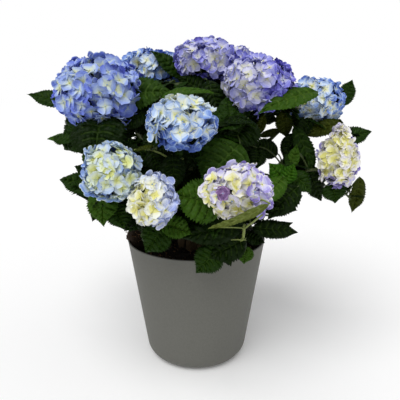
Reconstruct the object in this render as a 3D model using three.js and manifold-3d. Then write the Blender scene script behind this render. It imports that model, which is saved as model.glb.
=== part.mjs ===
// Potted mophead shrub: a tapered pot, its soil, a short stem with canes, flower heads and
// masses of leaves. Millimetres, +Z up, origin at the centre of the pot's flat underside.
// -Y is the front, +X is the right.
import * as THREE from "three";
import { mergeVertices } from "three/addons/utils/BufferGeometryUtils.js";
import Module from "manifold-3d";

const wasm = await Module();
wasm.setup();

// clearance kept between neighbouring pieces
const gap = 0.8;
// how far a cut edge may move when its facets are merged
const smoothing = 0.4;

const pot = {
  height: 290,
  rimRadius: 160,
  footRadius: 115.5,
  cornerRadius: 34,
  wall: 4,
  floor: 6,
  segments: 24,
};

const soil = {
  edgeHeight: 258,
  crownHeight: 268,
  unevenness: 4,
};

const clod = {
  at: [-139, -12, 285],
  size: [44, 66, 60],
};

const stem = {
  radius: 46,
  bottom: 238,
  top: 296,
  segments: 12,
};

const cane = {
  ringRadius: 34,
  footHeight: 291,
  footRadius: 7.5,
  tipRadius: 3.6,
  forkRadius: 5.2,
  sides: 5,
  steps: 6,
  insideHead: 0.2,
};

// Flower heads: centre, full size (wide, deep, high) and the cane that carries each one.
// foot is the cane's bearing on the stem (0 at the front, 90 at the right);
// from names the cane a side branch leaves, and share is how far along it.
const heads = {
  left: { at: [-197, -60, 627], size: [189, 172, 147], foot: -80 },
  front_upper: { at: [-26, -190, 570], size: [139, 130, 110], foot: 0 },
  front_low_left: { at: [-156, -220, 484], size: [123, 110, 117], foot: -40 },
  front_low_right: { at: [70, -270, 460], size: [130, 108, 106], foot: 40 },
  top_right: { at: [127, -40, 641], size: [156, 148, 124], foot: 80 },
  right_upper: { at: [279, 40, 605], size: [124, 124, 107], foot: 120 },
  top: { at: [20, 60, 693], size: [150, 140, 106], foot: 160 },
  back: { at: [-20, 255, 575], size: [150, 140, 116], foot: -160 },
  back_left: { at: [-222, 180, 596], size: [150, 140, 116], foot: -120 },
  front_low: {
    at: [-76, -250, 441],
    size: [94, 96, 106],
    from: "front_low_left",
    share: 0.4,
  },
  right: {
    at: [296, -80, 491],
    size: [96, 108, 132],
    from: "right_upper",
    share: 0.3,
  },
  top_left: { at: [-112, 120, 675], size: [136, 120, 98], from: "top", share: 0.4 },
  top_back: { at: [97, 140, 696], size: [88, 96, 68], from: "top", share: 0.5 },
  back_right: { at: [160, 215, 622], size: [140, 130, 108], from: "top", share: 0.3 },
  back_low_left: {
    at: [-195, 225, 400],
    size: [120, 116, 98],
    from: "back_left",
    share: 0.3,
  },
  back_low_right: {
    at: [105, 255, 385],
    size: [124, 116, 100],
    from: "back",
    share: 0.3,
  },
};

// Leaf masses: centre, full size and the far points that a leaf tip reaches.
// The outline ones have finer facets than the ones inside.
const leafMasses = {
  far_left: { at: [-296, -20, 607], size: [96, 84, 46], tips: [[-364, -20, 616]] },
  left: {
    at: [-208, -80, 535],
    size: [132, 140, 96],
    tips: [[-308, -80, 528]],
  },
  low_left: {
    at: [-182, -140, 430],
    size: [112, 120, 96],
    tips: [
      [-270, -140, 456],
      [-185, -165, 362],
    ],
  },
  rim_left: {
    at: [-80, -190, 374],
    size: [126, 100, 76],
    tips: [
      [-95, -212, 323],
      [-9, -200, 361],
    ],
  },
  rim_front: {
    at: [44, -190, 345],
    size: [132, 90, 74],
    tips: [
      [-1, -212, 280],
      [92, -190, 302],
    ],
  },
  rim_right: {
    at: [158, -130, 382],
    size: [100, 100, 92],
    tips: [
      [204, -140, 346],
      [218, -130, 405],
    ],
  },
  low_right: {
    at: [306, -60, 416],
    size: [136, 110, 56],
    tips: [[342, -60, 367]],
  },
  right: { at: [215, -50, 453], size: [110, 100, 160], tips: [] },
  upper_right: { at: [222, 0, 584], size: [160, 110, 64], tips: [] },
  far_right: {
    at: [302, 10, 548],
    size: [140, 130, 56],
    tips: [
      [396, 5, 534],
      [346, 0, 508],
    ],
  },
  far_right_top: { at: [344, 80, 614], size: [62, 80, 56], tips: [[372, 80, 642]] },
  upper_left: { at: [-85, 10, 632], size: [196, 150, 130], tips: [] },
  upper_middle: { at: [70, 75, 618], size: [180, 130, 90], tips: [] },
  centre: { at: [50, -85, 540], size: [186, 150, 136], tips: [] },
  inner_left: { at: [-88, -70, 456], size: [176, 170, 156], tips: [] },
  inner_right: { at: [66, -100, 412], size: [212, 160, 124], tips: [] },
  back_left: {
    at: [-210, 130, 505],
    size: [200, 180, 150],
    tips: [
      [-330, 130, 520],
      [-262, 235, 470],
    ],
  },
  back: { at: [-60, 200, 505], size: [210, 180, 150], tips: [[-70, 318, 500]] },
  back_right: { at: [112, 165, 535], size: [120, 170, 150], tips: [[90, 290, 545]] },
  back_low_left: {
    at: [-110, 165, 385],
    size: [150, 150, 110],
    tips: [[-120, 262, 330]],
  },
  back_low_right: {
    at: [130, 160, 375],
    size: [190, 150, 110],
    tips: [
      [215, 205, 335],
      [60, 235, 325],
    ],
  },
  low_far_right: { at: [262, 122, 392], size: [140, 120, 96], tips: [[350, 150, 385]] },
};

const colours = {
  pot: "#65665e",
  soil: "#2c2119",
  cane: "#5b6b37",
  leaf: "#35551f",
  bloom: "#a9b0dd",
};

function materialOf(colour) {
  return new THREE.MeshStandardMaterial({
    color: colour,
    roughness: 0.7,
    flatShading: true,
  });
}

function bare(geometry) {
  const shape = geometry.index ? geometry.toNonIndexed() : geometry.clone();
  const kept = new THREE.BufferGeometry();
  kept.setAttribute("position", shape.getAttribute("position"));
  return mergeVertices(kept, 1e-4);
}

function solidOf(geometry) {
  const merged = bare(geometry);
  return new wasm.Manifold(
    new wasm.Mesh({
      numProp: 3,
      vertProperties: merged.attributes.position.array,
      triVerts: new Uint32Array(merged.index.array),
    }),
  );
}

function geometryOf(solid) {
  const mesh = solid.getMesh();
  const geometry = new THREE.BufferGeometry();
  const positions = new Float32Array(mesh.vertProperties);
  geometry.setAttribute("position", new THREE.BufferAttribute(positions, 3));
  geometry.setIndex(new THREE.BufferAttribute(new Uint32Array(mesh.triVerts), 1));
  geometry.computeVertexNormals();
  return geometry;
}

// the same surface moved out along its vertex normals
function grown(geometry, distance) {
  const shape = bare(geometry);
  shape.computeVertexNormals();
  const place = shape.attributes.position;
  const normal = shape.attributes.normal;
  for (let i = 0; i < place.count; i++) {
    place.setXYZ(
      i,
      place.getX(i) + normal.getX(i) * distance,
      place.getY(i) + normal.getY(i) * distance,
      place.getZ(i) + normal.getZ(i) * distance,
    );
  }
  return shape;
}

// smooth unevenness over a unit direction, between -1 and 1
function waves(v, seed) {
  const a = Math.sin(4.1 * v.x + 1.7 * v.y + seed * 1.3);
  const b = Math.sin(3.7 * v.y - 2.3 * v.z + seed * 2.1);
  const c = Math.sin(4.9 * v.z + 2.9 * v.x + seed * 0.7);
  return (a + b + c) / 3;
}

// A closed uneven solid around its centre, drawn out to a point at each tip.
function unevenSolid({ at, size, tips = [], seed, depth, point, fine = true }) {
  const centre = new THREE.Vector3(...at);
  const half = new THREE.Vector3(...size).multiplyScalar(0.5);
  const shape = bare(
    fine ? new THREE.OctahedronGeometry(1, 3) : new THREE.IcosahedronGeometry(1, 1),
  );
  const place = shape.attributes.position;
  const directions = [];
  for (let i = 0; i < place.count; i++) {
    directions.push(new THREE.Vector3().fromBufferAttribute(place, i).normalize());
  }
  const points = directions.map((v) =>
    v.clone().multiply(half).multiplyScalar(1 + depth * waves(v, seed)),
  );
  for (const tip of tips) {
    const reach = new THREE.Vector3(...tip).sub(centre);
    const toward = reach.clone().divide(half).normalize();
    const nearest = Math.max(...directions.map((v) => v.dot(toward)));
    directions.forEach((v, i) => {
      const pull = Math.exp(-point * (nearest - v.dot(toward)));
      points[i].lerp(reach, pull);
    });
  }
  points.forEach((p, i) => place.setXYZ(i, p.x + at[0], p.y + at[1], p.z + at[2]));
  return shape;
}

function lathe(profile, segments) {
  return new THREE.LatheGeometry(
    profile.map(([r, z]) => new THREE.Vector2(r, z)),
    segments,
  ).rotateX(Math.PI / 2);
}

// the pot's outer profile from the middle of its underside up to the rim
function potSide(inset, bottom) {
  const lean = Math.atan2(pot.rimRadius - pot.footRadius, pot.height);
  const corner = pot.cornerRadius - inset;
  const middleRadius =
    pot.footRadius - pot.cornerRadius / Math.tan((Math.PI / 2 + lean) / 2);
  const profile = [];
  const steps = 4;
  for (let i = 0; i <= steps; i++) {
    const angle = -Math.PI / 2 + ((Math.PI / 2 - lean) * i) / steps;
    profile.push([
      middleRadius + corner * Math.cos(angle),
      bottom + corner + corner * Math.sin(angle),
    ]);
  }
  return profile;
}

function rimAt(inset, height) {
  const slope = (pot.rimRadius - pot.footRadius) / pot.height;
  return pot.footRadius + slope * height - inset;
}

function potGeometry() {
  const outside = potSide(0, 0);
  const inside = potSide(pot.wall, pot.floor).reverse();
  return lathe(
    [
      [0, 0],
      ...outside,
      [rimAt(0, pot.height - 2), pot.height - 2],
      [rimAt(1.2, pot.height), pot.height],
      [rimAt(pot.wall - 0.8, pot.height), pot.height],
      [rimAt(pot.wall, pot.height - 2), pot.height - 2],
      ...inside,
      [0, pot.floor],
    ],
    pot.segments,
  );
}

function soilGeometry() {
  const inset = pot.wall + gap * 1.3;
  const bottom = pot.floor + gap * 1.3;
  const profile = [
    [0, bottom],
    ...potSide(inset, bottom),
    [rimAt(inset, soil.edgeHeight), soil.edgeHeight],
    [rimAt(inset, soil.edgeHeight) * 0.7, soil.crownHeight - 3],
    [rimAt(inset, soil.edgeHeight) * 0.4, soil.crownHeight],
    [0, soil.crownHeight],
  ];
  const shape = lathe(profile, pot.segments);
  const place = shape.attributes.position;
  for (let i = 0; i < place.count; i++) {
    const x = place.getX(i);
    const y = place.getY(i);
    const z = place.getZ(i);
    const inner = Math.hypot(x, y) < rimAt(inset, soil.edgeHeight) * 0.8;
    if (z > soil.edgeHeight + 1 && inner && Math.hypot(x, y) > 1) {
      const bump = Math.sin(x * 0.09) * Math.cos(y * 0.11);
      place.setZ(i, z + soil.unevenness * bump);
    }
  }
  return shape;
}

function stemGeometry() {
  return lathe(
    [
      [0, stem.bottom],
      [stem.radius * 0.6, stem.bottom],
      [stem.radius * 0.92, stem.bottom + 18],
      [stem.radius, stem.top - 14],
      [stem.radius * 0.94, stem.top],
      [0, stem.top],
    ],
    stem.segments,
  );
}

const up = new THREE.Vector3(0, 0, 1);
const curves = {};

// the arched centre line of the cane under one head
function caneCurve(head) {
  const centre = new THREE.Vector3(...head.at);
  const inward = new THREE.Vector3(-centre.x, -centre.y, 0).normalize();
  const end = centre
    .clone()
    .addScaledVector(inward, head.size[0] * cane.insideHead)
    .addScaledVector(up, -head.size[2] * cane.insideHead);
  let start;
  if (head.from) {
    start = curves[head.from].getPointAt(head.share);
  } else {
    const bearing = THREE.MathUtils.degToRad(head.foot);
    start = new THREE.Vector3(
      cane.ringRadius * Math.sin(bearing),
      -cane.ringRadius * Math.cos(bearing),
      cane.footHeight,
    );
  }
  const middle = start.clone().lerp(end, 0.36);
  middle.z = THREE.MathUtils.lerp(start.z, end.z, 0.66);
  return new THREE.QuadraticBezierCurve3(start, middle, end);
}

// a cylinder bent along the curve, thinner towards its end
function limbGeometry(curve, foot, tip) {
  const shape = new THREE.CylinderGeometry(1, 1, 1, cane.sides, cane.steps);
  const side = curve.v1
    .clone()
    .sub(curve.v0)
    .cross(curve.v2.clone().sub(curve.v0))
    .normalize();
  const place = shape.attributes.position;
  for (let i = 0; i < place.count; i++) {
    const share = THREE.MathUtils.clamp(place.getY(i) + 0.5, 0, 1);
    const radius = THREE.MathUtils.lerp(foot, tip, share);
    const ahead = curve.getTangentAt(share);
    const out = side.clone().cross(ahead);
    const point = curve
      .getPointAt(share)
      .addScaledVector(side, place.getX(i) * radius)
      .addScaledVector(out, place.getZ(i) * radius);
    place.setXYZ(i, point.x, point.y, point.z);
  }
  return shape;
}

function largest(solid) {
  const bodies = solid.decompose();
  bodies.sort((a, b) => b.volume() - a.volume());
  return bodies[0];
}

function boxesMeet(a, b) {
  const p = a.boundingBox();
  const q = b.boundingBox();
  return [0, 1, 2].every((i) => p.min[i] < q.max[i] && q.min[i] < p.max[i]);
}

const group = new THREE.Group();
const placed = [];

// Adds one named piece, cut back from every piece placed before it.
function addPiece(name, geometry, colour) {
  let solid = solidOf(geometry);
  for (const other of placed) {
    if (boxesMeet(solid, other.clear)) {
      solid = solid.subtract(other.clear);
    }
  }
  solid = largest(solid.simplify(smoothing));
  const mesh = new THREE.Mesh(geometryOf(solid), materialOf(colour));
  mesh.name = name;
  group.add(mesh);
  placed.push({ name, clear: solidOf(grown(geometry, gap)) });
}

addPiece("pot", potGeometry(), colours.pot);
addPiece("stem", stemGeometry(), colours.cane);
addPiece("soil", soilGeometry(), colours.soil);
addPiece(
  "soil_clod",
  unevenSolid({ ...clod, seed: 3, depth: 0.12, point: 10, fine: false }),
  colours.soil,
);

for (const [name, head] of Object.entries(heads)) {
  curves[name] = caneCurve(head);
  const foot = head.from ? cane.forkRadius : cane.footRadius;
  addPiece(
    "cane_" + name,
    limbGeometry(curves[name], foot, cane.tipRadius),
    colours.cane,
  );
}

Object.entries(heads).forEach(([name, head], i) => {
  const fine = head.at[1] < 130;
  const solid = unevenSolid({ ...head, seed: i + 1, depth: 0.05, point: 10, fine });
  addPiece("bloom_" + name, solid, colours.bloom);
});

Object.entries(leafMasses).forEach(([name, mass], i) => {
  const fine = mass.at[1] < 90 && mass.tips.length > 0;
  const solid = unevenSolid({ ...mass, seed: i + 31, depth: 0.12, point: 16, fine });
  addPiece("leaves_" + name, solid, colours.leaf);
});

export default group;
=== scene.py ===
import math
import bpy
import numpy as np
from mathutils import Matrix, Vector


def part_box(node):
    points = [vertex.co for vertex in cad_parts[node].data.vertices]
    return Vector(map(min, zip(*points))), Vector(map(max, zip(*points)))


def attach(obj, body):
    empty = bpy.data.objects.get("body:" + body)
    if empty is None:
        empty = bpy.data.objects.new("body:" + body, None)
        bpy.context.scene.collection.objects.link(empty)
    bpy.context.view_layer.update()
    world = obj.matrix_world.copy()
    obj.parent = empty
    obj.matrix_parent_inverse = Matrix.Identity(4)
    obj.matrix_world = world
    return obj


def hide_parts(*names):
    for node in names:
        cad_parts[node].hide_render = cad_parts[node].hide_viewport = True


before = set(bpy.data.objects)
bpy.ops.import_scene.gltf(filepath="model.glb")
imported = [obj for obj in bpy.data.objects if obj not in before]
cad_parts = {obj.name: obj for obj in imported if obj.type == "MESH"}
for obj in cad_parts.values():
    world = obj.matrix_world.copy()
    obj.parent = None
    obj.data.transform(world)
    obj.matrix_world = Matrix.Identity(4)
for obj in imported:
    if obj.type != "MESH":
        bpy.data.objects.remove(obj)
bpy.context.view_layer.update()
seed = 41
rng = np.random.default_rng(seed)
print("frame loaded")

# metres, +Z up, -Y the front, +X the right


def startDraws(*key):
    # each shoot and each head draws from a start of its own, so one can change alone
    rng.bit_generator.state = np.random.default_rng([seed, *key]).bit_generator.state


def unit(v):
    v = np.asarray(v, float)
    return v / np.maximum(np.linalg.norm(v, axis=-1, keepdims=True), 1e-9)


def smoothStep(low, high, x):
    t = np.clip((x - low) / (high - low), 0, 1)
    return t * t * (3 - 2 * t)


def linear(rgb):
    # a screen tone of 0 to 255 as a shader takes it
    c = np.asarray(rgb, float) / 255
    return tuple(np.where(c <= 0.04045, c / 12.92, ((c + 0.055) / 1.055) ** 2.4))


def bearings(count):
    # even steps all the way round
    return np.linspace(0, 2 * np.pi, count, endpoint=False)


def turned(out, bearing, height):
    # points at a distance from the upright, a bearing round it and a height
    out, bearing, height = np.broadcast_arrays(out, bearing, height)
    return np.stack([out * np.cos(bearing), out * np.sin(bearing), height], -1)


# finishes: a surface is its roughness and shine, a bump its scale, depth, detail and stretch

def treeOf(material):
    tree = material.node_tree
    return tree.nodes, tree.links, tree.nodes["Principled BSDF"]


def addNode(nodes, kind, **inputs):
    node = nodes.new("ShaderNode" + kind)
    for name, value in inputs.items():
        node.inputs[name].default_value = value
    return node


def newMaterial(name, rgb, roughness, specular=0.5):
    material = bpy.data.materials.new(name)
    material.use_nodes = True
    shader = treeOf(material)[2]
    shader.inputs["Base Color"].default_value = (*linear(rgb), 1)
    shader.inputs["Roughness"].default_value = roughness
    shader.inputs["Specular IOR Level"].default_value = specular
    return material


def addBump(material, scale, distance, detail=3.0, stretch=(1, 1, 1)):
    nodes, links, shader = treeOf(material)
    place = addNode(nodes, "TexCoord")
    mapping = addNode(nodes, "Mapping", Scale=stretch)
    noise = addNode(nodes, "TexNoise", Scale=scale, Detail=detail)
    bump = addNode(nodes, "Bump", Distance=distance)
    links.new(place.outputs["Object"], mapping.inputs["Vector"])
    links.new(mapping.outputs["Vector"], noise.inputs["Vector"])
    links.new(noise.outputs["Fac"], bump.inputs["Height"])
    links.new(bump.outputs["Normal"], shader.inputs["Normal"])
    return noise


def mottledMaterial(name, dark, light, roughness, specular, bump, spread=(0.35, 0.65)):
    # the noise that raises the surface also blends the dark tone with the light one
    material = newMaterial(name, dark, roughness, specular)
    noise = addBump(material, *bump)
    nodes, links, shader = treeOf(material)
    ramp = addNode(nodes, "ValToRGB")
    for element, position, tone in zip(ramp.color_ramp.elements, spread, (dark, light)):
        element.position = position
        element.color = (*linear(tone), 1)
    links.new(noise.outputs["Fac"], ramp.inputs["Fac"])
    links.new(ramp.outputs["Color"], shader.inputs["Base Color"])
    return material


# mesh building

def newHeap():
    return {"points": [], "faces": [], "tones": [], "count": 0}


def pile(heap, points, faces, tones):
    points = np.asarray(points, float).reshape(-1, 3)
    faces = np.asarray(faces, int).reshape(-1, 3)
    heap["points"].append(points)
    heap["faces"].append(faces + heap["count"])
    heap["tones"].append(np.broadcast_to(np.asarray(tones, int), (len(faces),)))
    heap["count"] += len(points)


def makePiece(name, heap, materials, nodes, smooth=True):
    points = np.concatenate(heap["points"])
    faces = np.concatenate(heap["faces"])
    tones = np.concatenate(heap["tones"])
    used = np.unique(tones)
    mesh = bpy.data.meshes.new(name)
    mesh.vertices.add(len(points))
    mesh.vertices.foreach_set("co", points.ravel())
    mesh.loops.add(faces.size)
    mesh.loops.foreach_set("vertex_index", faces.ravel())
    mesh.polygons.add(len(faces))
    mesh.polygons.foreach_set("loop_start", np.arange(0, faces.size, 3))
    for i in used:
        mesh.materials.append(materials[i])
    mesh.polygons.foreach_set("material_index", np.searchsorted(used, tones))
    mesh.polygons.foreach_set("use_smooth", np.full(len(faces), smooth))
    mesh.update(calc_edges=True)
    piece = bpy.data.objects.new(name, mesh)
    bpy.context.scene.collection.objects.link(piece)
    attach(piece, "root")
    if nodes:
        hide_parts(*nodes)
    print(f"{name}: {len(faces)} triangles")


def gridFaces(rows, columns, closed=False):
    # the triangles of a grid of points, and the row and column that each lies in
    across = columns if closed else columns - 1
    r, c = np.meshgrid(np.arange(rows - 1), np.arange(across), indexing="ij")
    a = r * columns + c
    b = r * columns + (c + 1) % columns
    d, e = a + columns, b + columns
    faces = np.stack([a, b, e, a, e, d], -1).reshape(-1, 3)
    return faces, np.repeat(r.ravel(), 2), np.repeat(c.ravel(), 2)


def framesAlong(path):
    # one side way is carried along the path, so that a tube doesn't twist
    slant, otherSlant, tooNear = (0.31, 0.2, 0.93), (1.0, 0.1, 0.0), 0.1
    ahead = unit(np.gradient(path, axis=0))
    side = np.cross(ahead[0], slant)
    if np.linalg.norm(side) < tooNear:
        side = np.cross(ahead[0], otherSlant)
    sides = []
    for a in ahead:
        side = unit(side - a * np.dot(side, a))
        sides.append(side)
    sides = np.array(sides)
    return ahead, sides, np.cross(ahead, sides)


def tube(path, radii, sides, relief=0):
    ahead, across, up = framesAlong(path)
    turn = bearings(sides)
    radii = np.broadcast_to(np.asarray(radii, float), (len(path),))[:, None] * (1 + relief)
    ring = (across[:, None] * np.cos(turn)[None, :, None]
            + up[:, None] * np.sin(turn)[None, :, None])
    points = path[:, None] + ring * radii[..., None]
    faces = gridFaces(len(path), sides, True)[0]
    count = len(path) * sides
    ends = np.array([path[0], path[-1]])
    first = np.arange(sides)
    last = first + count - sides
    caps = np.concatenate([
        np.stack([np.roll(first, -1), first, np.full(sides, count)], 1),
        np.stack([last, np.roll(last, -1), np.full(sides, count + 1)], 1)])
    return np.concatenate([points.reshape(-1, 3), ends]), np.concatenate([faces, caps])


def bezier(a, b, c, count):
    t = np.linspace(0, 1, count)[:, None]
    return ((1 - t) ** 2 * np.asarray(a) + 2 * t * (1 - t) * np.asarray(b)
            + t ** 2 * np.asarray(c))


def evenly(path, count):
    # the same line with its points at equal steps
    step = np.linalg.norm(np.diff(path, axis=0), axis=1)
    along = np.concatenate([[0], np.cumsum(step)]) / step.sum()
    even = np.linspace(0, 1, count)
    return np.stack([np.interp(even, along, path[:, i]) for i in range(3)], 1)


# camera first, then light and floor

view = {
    "place": (0.0, -1.05, 0.645),
    "pitch": 14.33,
    "turn": 0.47,
    "focal": 467.27,  # in pixels
    "pixels": 400,
    "sensor": 36,
    "nearest": 0.01,
}
midPixel = view["pixels"] / 2

camera = bpy.data.objects.new("camera", bpy.data.cameras.new("camera"))
camera.location = view["place"]
camera.rotation_euler = (math.radians(90 - view["pitch"]), 0, math.radians(-view["turn"]))
camera.data.sensor_width = view["sensor"]
camera.data.lens = view["focal"] / view["pixels"] * view["sensor"]
camera.data.clip_start = view["nearest"]
bpy.context.scene.collection.objects.link(camera)
bpy.context.scene.camera = camera


def viewAxes():
    pitch, turn = math.radians(view["pitch"]), math.radians(view["turn"])
    ahead = np.array([math.sin(turn) * math.cos(pitch), math.cos(turn) * math.cos(pitch),
                      -math.sin(pitch)])
    right = np.array([math.cos(turn), -math.sin(turn), 0])
    return ahead, right, np.cross(right, ahead)


def seenAt(across, down, depth):
    # the point that is seen at a pixel of the view, at a given depth along +Y
    ahead, right, up = viewAxes()
    ray = ahead + (right * (across - midPixel) - up * (down - midPixel)) / view["focal"]
    return np.array(view["place"]) + ray * (depth - view["place"][1]) / ray[1]


def seenFrom(points):
    # the pixels of the view where points are seen
    ahead, right, up = viewAxes()
    away = points - np.array(view["place"])
    scale = view["focal"] / (away @ ahead)
    return np.stack([midPixel + away @ right * scale, midPixel - away @ up * scale], -1)


studio = {
    "skyLight": 0.36,
    "backdropTone": 1.0,
    # strength, tilt from straight down, turn about the upright from the front, softness
    "keyLamp": (2.05, 32, -28, 50),
    "fillLamp": (0.30, 50, 60, 90),
    "floorReach": 14,
    "floorDrop": 0.0005,  # keeps the floor just under the pot
    "floorTone": (250, 250, 250),
    "floorSurface": (0.9, 0.1),
    "floorGlow": 0.09,
}
white = (1, 1, 1, 1)


def addSun(name, strength, tilt, turn, softness):
    data = bpy.data.lights.new(name, "SUN")
    data.energy = strength
    data.angle = math.radians(softness)
    lamp = bpy.data.objects.new(name, data)
    lamp.rotation_euler = (math.radians(tilt), 0, math.radians(turn))
    bpy.context.scene.collection.objects.link(lamp)


def makeWorld():
    # the sky shows as white paper and lights the plant more gently
    world = bpy.data.worlds.new("studio")
    world.use_nodes = True
    nodes, links = world.node_tree.nodes, world.node_tree.links
    light = nodes["Background"]
    light.inputs["Color"].default_value = white
    light.inputs["Strength"].default_value = studio["skyLight"]
    paper = addNode(nodes, "Background", Color=white, Strength=studio["backdropTone"])
    rays = addNode(nodes, "LightPath")
    mix = addNode(nodes, "MixShader")
    links.new(rays.outputs["Is Camera Ray"], mix.inputs["Fac"])
    links.new(light.outputs["Background"], mix.inputs[1])
    links.new(paper.outputs["Background"], mix.inputs[2])
    links.new(mix.outputs["Shader"], nodes["World Output"].inputs["Surface"])
    bpy.context.scene.world = world


def makeFloor():
    reach, low = studio["floorReach"], -studio["floorDrop"]
    mesh = bpy.data.meshes.new("floor")
    mesh.from_pydata([(-reach, -reach, low), (reach, -reach, low), (reach, reach, low),
                      (-reach, reach, low)], [], [(0, 1, 2, 3)])
    paper = newMaterial("floorPaper", studio["floorTone"], *studio["floorSurface"])
    shader = treeOf(paper)[2]
    shader.inputs["Emission Color"].default_value = white
    shader.inputs["Emission Strength"].default_value = studio["floorGlow"]
    mesh.materials.append(paper)
    floor = bpy.data.objects.new("floor", mesh)
    bpy.context.scene.collection.objects.link(floor)


for lampName in ("keyLamp", "fillLamp"):
    addSun(lampName, *studio[lampName])
makeWorld()
makeFloor()
bpy.context.scene.view_settings.view_transform = "Standard"
print("camera, lamps and floor made")


# pot

pot = {
    "height": 0.290,
    "rimRadius": 0.160,
    "footRadius": 0.1155,
    "cornerRadius": 0.034,
    "wall": 0.004,
    "floor": 0.006,
    "lipRise": 0.0016,
    "lipSpread": 0.0002,
    "lipStart": 0.2,
    "lipGap": 0.0035,
    "cornerGap": 0.004,
    "innerFoot": 0.05,
    "hub": 0.0004,
    "turns": 160,
    "steps": {"corner": 14, "side": 26, "lip": 7, "inner": 12, "innerCorner": 8},
    "tone": (98, 98, 92),
    "toneLight": (103, 103, 97),
    "surface": (0.62, 0.35),
    "bump": (260, 0.00025, 5.0),
    "mottle": (0.3, 0.7),
}


def potRadius(z):
    slope = (pot["rimRadius"] - pot["footRadius"]) / pot["height"]
    return pot["footRadius"] + slope * z


def cornerProfile(inset, bottom, steps):
    # the round corner between the underside and the leaning side
    lean = math.atan2(pot["rimRadius"] - pot["footRadius"], pot["height"])
    corner = pot["cornerRadius"] - inset
    middle = pot["footRadius"] - pot["cornerRadius"] / math.tan((math.pi / 2 + lean) / 2)
    turns = -math.pi / 2 + (math.pi / 2 - lean) * np.linspace(0, 1, steps)
    return np.stack([middle + corner * np.cos(turns),
                     bottom + corner + corner * np.sin(turns)], 1)


def lathed(profile, turns):
    return (turned(profile[:, :1], bearings(turns), profile[:, 1:]).reshape(-1, 3),
            gridFaces(len(profile), turns, True)[0])


def lipProfile():
    # the rim, rounded over the thickness of the wall
    height, half, rise = pot["height"], pot["wall"] / 2, pot["lipRise"]
    start = pot["lipStart"]
    return [(potRadius(height) + pot["lipSpread"] - half + half * math.cos(a),
             height - rise + rise * math.sin(a))
            for a in np.linspace(start, math.pi - start, pot["steps"]["lip"])]


def potProfile():
    # from the middle of the underside up the outside, over the rim and down to the floor
    height, wall, steps = pot["height"], pot["wall"], pot["steps"]
    outside = cornerProfile(0, 0, steps["corner"])
    side = [(potRadius(z), z) for z in np.linspace(outside[-1][1] + pot["cornerGap"],
                                                   height - pot["lipGap"], steps["side"])]
    inner = [(potRadius(z) - wall, z)
             for z in np.linspace(height - wall, pot["innerFoot"], steps["inner"])]
    inside = cornerProfile(wall, pot["floor"], steps["innerCorner"])[::-1]
    return np.array([(pot["hub"], 0), *outside, *side, *lipProfile(), *inner, *inside,
                     (pot["hub"], pot["floor"])])


def potFinish():
    return mottledMaterial("mattePot", pot["tone"], pot["toneLight"], *pot["surface"],
                           pot["bump"], pot["mottle"])


def makePot():
    heap = newHeap()
    points, faces = lathed(potProfile(), pot["turns"])
    pile(heap, points, faces, 0)
    makePiece("potBody", heap, [potFinish()], ["pot"])


makePot()


# soil and the clod on the rim

soil = {
    "edge": 0.260,
    "crown": 0.268,
    "roughness": 0.004,
    "fineRoughness": 0.0012,
    "gap": 0.0008,
    "rings": 44,
    "turns": 120,
    "hub": 0.0005,
    "skirt": (-0.001, 0.02),
    "crumbs": 1500,
    "crumbSize": (0.0014, 0.0042),
    "crumbTones": [0, 0, 1, 1, 2],
    "crumbReach": (0.02, 0.96),
    "crumbLift": 0.001,
    "crumbDrop": 0.006,
    "clodPlace": (-0.139, -0.012, 0.286),
    "clodSize": (0.023, 0.034, 0.030),
    "clodGrid": (26, 40),
    "clodCrumbs": 220,
    "clodCrumbSize": (0.0012, 0.0034),
    "clodCrumbTones": [0, 1, 2, 2],
    "rimLand": 0.006,
    "rimTop": 0.2915,
    "fibres": 60,
    "fibreRadius": 0.0005,
    "fibreReach": 0.164,
    "fibreBends": (0.006, 0.008),
    "tone": (46, 36, 28),
    "toneDark": (24, 18, 14),
    "fibreTone": (112, 88, 62),
    "surface": (0.95, 0.2),
    "bump": (420, 0.0012, 4.0),
    "brownBump": (380, 0.001, 4.0),
    "fibreSurface": (0.9, 0.2),
}


def rumple(points, variant, scale):
    # a few waves added up to an uneven surface, between about -1 and 1
    x, y, z = (points * scale).T
    value = np.zeros(len(points))
    for k in range(1, 6):
        a, b, c = np.sin(variant * k * 1.7 + np.array([0.3, 1.9, 4.1])) * 2
        value += np.sin(k * (x + a) + 1.3 * b) * np.cos(k * (y + c) - a) \
            * np.cos(k * 0.9 * z + b) / k
    return value / 2


def crumbShape():
    # eight flat sides
    shape = np.array([(1, 0, 0), (-1, 0, 0), (0, 1, 0), (0, -1, 0), (0, 0, 1), (0, 0, -1)],
                     float)
    faces = [(0, 2, 4), (2, 1, 4), (1, 3, 4), (3, 0, 4),
             (2, 0, 5), (1, 2, 5), (3, 1, 5), (0, 3, 5)]
    return shape, np.array(faces)


def scatterCrumbs(heap, places, low, high, tones):
    shape, faces = crumbShape()
    for place in places:
        size = rng.uniform(low, high)
        stretch = rng.uniform(0.5, 1.3, 3)
        turn = unit(rng.normal(size=(3, 3)))
        pile(heap, place + (shape * stretch * size) @ turn, faces, rng.choice(tones))


def makeBed(heap, edge):
    # the rumpled top of the mix, with a short skirt that goes down inside the pot
    rings, turns = soil["rings"], soil["turns"]
    reach = np.linspace(soil["hub"], 1, rings) ** 0.8
    away, way = np.meshgrid(reach * edge, bearings(turns), indexing="ij")
    z = soil["crown"] + (soil["edge"] - soil["crown"]) * smoothStep(0.5, 1, away / edge)
    points = turned(away, way, z).reshape(-1, 3)
    lift = rumple(points, 2.0, 70) * soil["roughness"]
    lift += rumple(points, 5.0, 260) * soil["fineRoughness"]
    points[:, 2] += lift * (1 - smoothStep(0.9, 1, away.ravel() / edge) * 0.6)
    pile(heap, points, gridFaces(rings, turns, True)[0], 0)
    skirt = turned(edge, bearings(turns), soil["edge"] - np.array(soil["skirt"])[:, None])
    pile(heap, skirt, gridFaces(2, turns, True)[0][:, ::-1], 0)


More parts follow.
